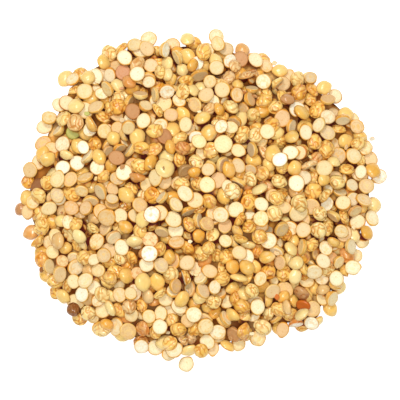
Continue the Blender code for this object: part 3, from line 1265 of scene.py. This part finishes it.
lay_tree = laying_tree()
print(len(lay_tree.nodes), "nodes lay the halves")

# %% [markdown]
# The pour has left a Python list of halves, and a tree can't read a list. It does read a mesh's
# attributes, so each half becomes one loose point with its numbers on it. Three Euler angles say
# how it is turned, since they fit in one vector. Shapes are dealt out like cards, so that each is
# used about as often as the next.

# %% A cloud of points


def cloud(name, halves, shapes, wrinkles):
    """A mesh of loose points, one for each half, with what it needs as attributes."""
    rng = np.random.default_rng(len(halves))
    mesh = bpy.data.meshes.new(name)
    mesh.from_pydata([tuple(half["place"] - (*MIDDLE, 0)) for half in halves], [], [])
    turns = [Matrix([list(row) for row in half["turn"]]).to_euler() for half in halves]
    columns = {
        "turn": ("FLOAT_VECTOR", "vector", [angle for turn in turns for angle in turn]),
        "half_sizes": ("FLOAT_VECTOR", "vector", np.ravel([h["half_sizes"] for h in halves])),
        "face_colour": ("FLOAT_VECTOR", "vector", np.ravel([h["face_colour"] for h in halves])),
        "back_colour": ("FLOAT_VECTOR", "vector", np.ravel([h["back_colour"] for h in halves])),
        "tone": ("FLOAT", "value", [half["tone"] for half in halves]),
        "wrinkles": ("FLOAT", "value", [wrinkles] * len(halves)),
        "shape": ("INT", "value", rng.permutation(np.arange(len(halves)) % shapes)),
    }
    for label, (kind, key, values) in columns.items():
        column = mesh.attributes.new(label, kind, "POINT")
        column.data.foreach_set(key, np.asarray(values, dtype=int if kind == "INT" else float))
    return mesh


print("the middle of the heap's box is", [1000 * m for m in MIDDLE], "mm from that of the outline")

# %% [markdown]
# ## Light lost in the gaps
# A half at the bottom of a gap gets little light, and what reaches it has already bounced off
# other halves and turned brown. A renderer finds most of that, and the paint adds more of it as
# painted shade. So each vertex gets a value for how deep it lies under the halves around it, with
# some more on the steep flanks, which turn away from the light, and the paint turns brown with it.

# %% Gaps
GAP_BLUR = 0.0016
GAP_SHADE_DEPTHS = (0.0022, 0.0036)
FLANK_SHADE = 0.4
FLANK_RISE = 0.55
FLANK_DEPTH = 0.0009


def vertex_values(obj, key):
    """A vector of each vertex of an object, as three columns."""
    values = np.empty(len(obj.data.vertices) * 3)
    obj.data.vertices.foreach_get(key, values)
    return values.reshape(-1, 3).T


def mark_gaps(obj):
    """Gives each vertex its painted shade, from 0 in the open to 1 deep in a gap between halves."""
    x, y, z = vertex_values(obj, "co")
    row = np.round((x + MIDDLE[0]) / CELL).astype(int) + ground.middle
    column = np.round((y + MIDDLE[1]) / CELL).astype(int) + ground.middle
    depth = near_level[row, column] - z
    # Painted shade: the deeper a vertex lies under the blurred heights, the darker it is painted.
    share = np.clip((depth - GAP_SHADE_DEPTHS[0]) / (GAP_SHADE_DEPTHS[1] - GAP_SHADE_DEPTHS[0]), 0, 1)
    # More painted shade on steep flanks, which turn away from the lamps.
    steep = np.clip(1 - vertex_values(obj, "normal")[2] / FLANK_RISE, 0, 1)
    share = np.clip(share + FLANK_SHADE * steep * np.clip(depth / FLANK_DEPTH, 0, 1), 0, 1)
    obj.data.attributes.new("gap_shade", "FLOAT", "POINT").data.foreach_set("value", share)


near_level = blurred(ground.height, round(GAP_BLUR / CELL))
print("heights averaged over", 2 * GAP_BLUR * 1000, "mm")

# %% [markdown]
# ## One piece for each sort
# Which sort a half belongs to follows from how it lies: those that turn their face up, those that
# turn their back up, smooth or wrinkled, and those that hardly show. Each sort becomes one piece,
# so the whole heap is a handful of meshes and not nine hundred.

# %% Sorting and laying
HARDLY_SEEN = 5e-6
FACES_UP = 0.15
BACK_SHARES = {"smooth": 0.42, "wrinkled": 0.32, "furrowed": 0.26}
WRINKLE_PAINT = {
    "faced": 0.3, "smooth": 0.12, "wrinkled": 0.75, "furrowed": 0.9, "buried": 0.3, "chip": 0.4
}


def sort_of(pea, rng):
    """The sort that a half belongs to."""
    back = rng.choice(list(BACK_SHARES), p=list(BACK_SHARES.values()))
    if pea["seen"] < HARDLY_SEEN:
        return "buried"
    return "faced" if pea["turn"][2, 2] > FACES_UP else str(back)


def lay_all(peas, chips):
    """Sorts the halves and lays each sort as one piece."""
    rng = np.random.default_rng(SEED + 1)
    sorted_halves = {sort: [] for sort in SORTS}
    for pea in peas:
        sorted_halves[sort_of(pea, rng)].append(pea)
    sorted_halves["chip"] = chips
    pieces = {}
    for sort, halves in sorted_halves.items():
        points = cloud(f"points_{sort}", halves, SORTS[sort]["shapes"], WRINKLE_PAINT[sort])
        values = {"Shapes": shelves[sort], "Paint": pulse_paint, "Size": 1.0}
        pieces[sort] = run_tree(lay_tree, f"{sort}_halves", values, start=points)
        mark_gaps(pieces[sort])
        print(sort, len(halves), "halves,", 2 * len(pieces[sort].data.polygons), "triangles")
    return pieces


pieces = lay_all(peas, chips)

# %% [markdown]
# ## The heart of the heap
# Nobody sees the halves deep inside, so a mound stands for them: whole halves there would only make
# the meshes larger. It starts as a ball of nearly equal triangles, which is spread out to the
# heap's outline. Its upper side is given the heap's profile, and its lower side is pressed flat,
# so the mound stays closed.

# %% The mound
MOUND_SUBDIVISIONS = 6
MOUND_INSET = 0.0052
MOUND_REACH = 0.0055
MOUND_FOOT = 0.0002
LEAST_MOUND = 0.0006


def mound_dome():
    """A dome spread out to the heap's outline and given its profile, flat below."""
    bm = bmesh.new()
    bmesh.ops.create_icosphere(bm, subdivisions=MOUND_SUBDIVISIONS, radius=1)
    for vert in bm.verts:
        angle = math.atan2(vert.co.y, vert.co.x)
        level = math.hypot(vert.co.x, vert.co.y)
        share = 2 / math.pi * math.atan2(level, abs(vert.co.z))
        radius = (float(outline_radius(angle)) - MOUND_REACH) * share
        x, y = radius * math.cos(angle), radius * math.sin(angle)
        full = math.hypot(x, y) / float(outline_radius(angle))
        top = max(float(profile(np.array(full))) - MOUND_INSET, LEAST_MOUND)
        vert.co = (x - MIDDLE[0], y - MIDDLE[1], top if vert.co.z > -1e-4 else MOUND_FOOT)
    mesh = bpy.data.meshes.new("mound")
    bm.to_mesh(mesh)
    bm.free()
    return mesh


dome = mound_dome()
print("the dome has", len(dome.polygons), "triangles")

# %% [markdown]
# In the deepest gaps the mound shows, and has to pass for more halves. So little of it is seen that
# bumps as large as halves will do. A Voronoi pattern tells each point how far it lies from the
# middle of its cell, and a tree turns that into one round bump a cell.

# %% Bumps on the mound
BUMP_HEIGHT = 0.0014
BUMP_WIDTH = 0.0060
BUMP_FALL = 2
BUMPS_FROM = (0.0003, 0.0015)


def mound_tree():
    board, given = new_group(
        "bumpy_mound",
        [("Bump height", "Float", 0.0), ("Bump width", "Float", 1.0), ("Paint", "Material", None)],
    )
    place = board.add("GeometryNodeInputPosition")["Position"]
    up = split(board, place)[2]
    cells = board.add(
        "ShaderNodeTexVoronoi", None, {"Vector": place, "Scale": 1 / given["Bump width"]}
    )["Distance"]
    bump = (1 - cells * cells * BUMP_FALL).math("MAXIMUM", 0) * given["Bump height"]
    lift = joined(board, 0, 0, bump * up.step(*BUMPS_FROM))
    inputs = {"Geometry": given["Geometry"], "Offset": lift}
    raised = board.add("GeometryNodeSetPosition", None, inputs)["Geometry"]
    shaded = board.add("GeometryNodeSetShadeSmooth", None, {"Geometry": raised})["Geometry"]
    return finish_group(board, shaded, given["Paint"])


bumps_tree = mound_tree()
print(len(bumps_tree.nodes), "nodes raise the bumps")

# %% [markdown]
# The same pattern, read again in the material, gives each bump its own shade between pale and deep
# gold, and brown creases round it, which are painted shade where the bumps meet. Deep in a gap
# the mound is browned with the same painted shade as the halves. It is rough all over, because
# nothing shines down there.

# %% Painting and finishing the mound
DEEP_PALE, DEEP_GOLD, DEEP_SHADE_BROWN = (240, 200, 128), (214, 148, 60), (150, 84, 26)
CREASE_REACH, CREASE_SHADE_SHARE = (0.45, 0.75), 0.8
DEEP_GAP_SHADE_SHARE = 0.75
DEEP_ROUGHNESS, DEEP_SHINE = 0.9, 0.1


def mound_material():
    material = bpy.data.materials.new("deep_pulse")
    material.use_nodes = True
    board = Board(material.node_tree)
    shader = material.node_tree.nodes["Principled BSDF"]
    place = board.add("ShaderNodeTexCoord")["Object"]
    patches = board.add("ShaderNodeTexVoronoi", None, {"Vector": place, "Scale": 1 / BUMP_WIDTH})
    shade = board.add("ShaderNodeSeparateXYZ", None, {0: patches["Color"]})[0]
    crease_shade = patches["Distance"].step(*CREASE_REACH)
    gap_shade = attribute(board, "gap_shade", "Fac")
    colour = mixed(board, shade, (*linear(DEEP_GOLD), 1), (*linear(DEEP_PALE), 1))
    # Painted shade: brown creases where the bumps meet.
    colour = mixed(board, crease_shade * CREASE_SHADE_SHARE, colour, (*linear(DEEP_SHADE_BROWN), 1))
    # Painted shade: brown deep in gaps.
    colour = mixed(board, gap_shade * DEEP_GAP_SHADE_SHARE, colour, (*linear(GAP_SHADE_BROWN), 1))
    board.plug(shader.inputs["Base Color"], colour)
    shader.inputs["Roughness"].default_value = DEEP_ROUGHNESS
    shader.inputs["Specular IOR Level"].default_value = DEEP_SHINE
    return material


mound_values = {"Bump height": BUMP_HEIGHT, "Bump width": BUMP_WIDTH, "Paint": mound_material()}
mound = run_tree(bumps_tree, "heap_mound", mound_values, start=dome)
mark_gaps(mound)
print("mound", len(mound.data.polygons), "triangles")

# %% [markdown]
# ## The table
# The photo's white ground gives off as much light as it catches, so it never looks grey. The floor
# does the same: a white material with some light of its own.

# %% The floor
FLOOR_HALF = 3.0
FLOOR_COLOUR, FLOOR_ROUGHNESS = (0.9, 0.9, 0.9, 1), 0.8
FLOOR_GLOW = 0.5


def add_floor():
    bm = bmesh.new()
    bmesh.ops.create_grid(bm, x_segments=1, y_segments=1, size=FLOOR_HALF)
    mesh = bpy.data.meshes.new("floor")
    bm.to_mesh(mesh)
    bm.free()
    material = bpy.data.materials.new("white_table")
    material.use_nodes = True
    shader = material.node_tree.nodes["Principled BSDF"]
    shader.inputs["Base Color"].default_value = FLOOR_COLOUR
    shader.inputs["Roughness"].default_value = FLOOR_ROUGHNESS
    shader.inputs["Emission Color"].default_value = (1, 1, 1, 1)
    shader.inputs["Emission Strength"].default_value = FLOOR_GLOW
    mesh.materials.append(material)
    floor = bpy.data.objects.new("floor", mesh)
    bpy.context.scene.collection.objects.link(floor)
    return floor


floor = add_floor()
print("a floor", 2 * FLOOR_HALF, "m wide")

# %% [markdown]
# ## Handing the pieces to the frame
# The heap has one body. Every piece rides on it and stands for the plain solid.

# %% Riding and replacing
for piece in (*pieces.values(), mound):
    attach(piece, "root")
    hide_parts("heap")
print(len(pieces) + 1, "pieces ride on root")
